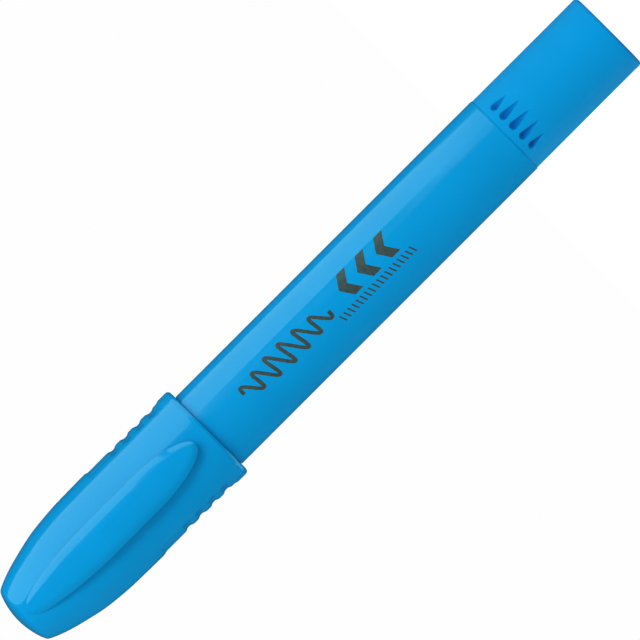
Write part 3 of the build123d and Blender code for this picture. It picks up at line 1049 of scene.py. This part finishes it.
class HIGHLIGHTER_OT_stage(bpy.types.Operator):
    """Set the pale floor, the softboxes, the soft lights and the camera"""

    bl_idname = "highlighter.stage"
    bl_label = "Stage"

    def execute(self, context):
        middle = Vector((0, 0, (cad_bounds[0].z + cad_bounds[1].z) / 2))
        mesh = bmesh.new()
        bmesh.ops.create_circle(mesh, cap_ends=True, segments=96, radius=FLOOR_RADIUS)
        floor = made_object("floor", mesh)
        floor.data.materials.append(finish_material("Studio Card"))
        floor.visible_glossy = False
        build_world(BACKDROP, AMBIENT, MIRRORED)
        softbox("softbox_side", SOFTBOX_SIDE, SIDE_FACING, SIDE_STRENGTH)
        softbox("softbox_low", SOFTBOX_LOW, SIDE_FACING, SIDE_STRENGTH)
        softbox("softbox_rear", SOFTBOX_REAR, REAR_FACING, REAR_STRENGTH)
        softbox("softbox_back", SOFTBOX_BACK, BACK_FACING, REAR_STRENGTH)
        fill_light("Key", azimuth=34, height=0.3, distance=0.9, width=0.3, tall=0.9, power=5.0)
        fill_light("Back Fill", azimuth=238, height=0.3, distance=0.8, width=1.0, tall=1.0, power=3.6)
        self.make_camera(context, middle)
        context.scene.view_settings.view_transform = "Standard"
        return {"FINISHED"}

    def make_camera(self, context, middle):
        """Level with the highlighter's middle, square to the clip side, with the nose down at the left."""
        data = bpy.data.cameras.new("Camera")
        data.sensor_width = 36.0
        data.lens = data.sensor_width * CAMERA_DISTANCE / VIEW_SIDE
        camera = bpy.data.objects.new("Camera", data)
        up = Vector((1, 0, -1)).normalized()
        right = Vector((-1, 0, -1)).normalized()
        back = Vector((0, -1, 0))
        turn = Matrix((right, up, back)).transposed().to_4x4()
        aim = middle + Vector(AIM_OFFSET)
        camera.matrix_world = Matrix.Translation(aim + back * CAMERA_DISTANCE) @ turn
        context.scene.collection.objects.link(camera)
        context.scene.camera = camera


PIECES = (
    HIGHLIGHTER_OT_barrel,
    HIGHLIGHTER_OT_print,
    HIGHLIGHTER_OT_nose,
    HIGHLIGHTER_OT_knob,
    HIGHLIGHTER_OT_cap,
    HIGHLIGHTER_OT_liner,
    HIGHLIGHTER_OT_clip,
    HIGHLIGHTER_OT_stick,
    HIGHLIGHTER_OT_drive,
    HIGHLIGHTER_OT_stage,
)


class HIGHLIGHTER_PT_panel(bpy.types.Panel):
    """Lists the pieces and their sizes in the 3D view's sidebar"""

    bl_idname = "HIGHLIGHTER_PT_panel"
    bl_label = "Gel Highlighter"
    bl_space_type = "VIEW_3D"
    bl_region_type = "UI"
    bl_category = "Highlighter"

    def draw(self, context):
        for piece in PIECES:
            self.layout.operator(piece.bl_idname)
        for group in (context.scene.highlighter_sizes, context.scene.highlighter_colours):
            for name in group.bl_rna.properties.keys():
                if name not in ("rna_type", "name"):
                    self.layout.prop(group, name)


CLASSES = (HighlighterSizes, HighlighterColours, *PIECES, HIGHLIGHTER_PT_panel)


def register():
    for item in CLASSES:
        bpy.utils.register_class(item)
    bpy.types.Scene.highlighter_sizes = PointerProperty(type=HighlighterSizes)
    bpy.types.Scene.highlighter_colours = PointerProperty(type=HighlighterColours)


def unregister():
    del bpy.types.Scene.highlighter_colours
    del bpy.types.Scene.highlighter_sizes
    for item in reversed(CLASSES):
        bpy.utils.unregister_class(item)


def main():
    """Registers the add-on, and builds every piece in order."""
    register()
    for piece in PIECES:
        group, name = piece.bl_idname.split(".")
        getattr(getattr(bpy.ops, group), name)()
    bpy.context.view_layer.update()


if __name__ == "__main__":
    main()
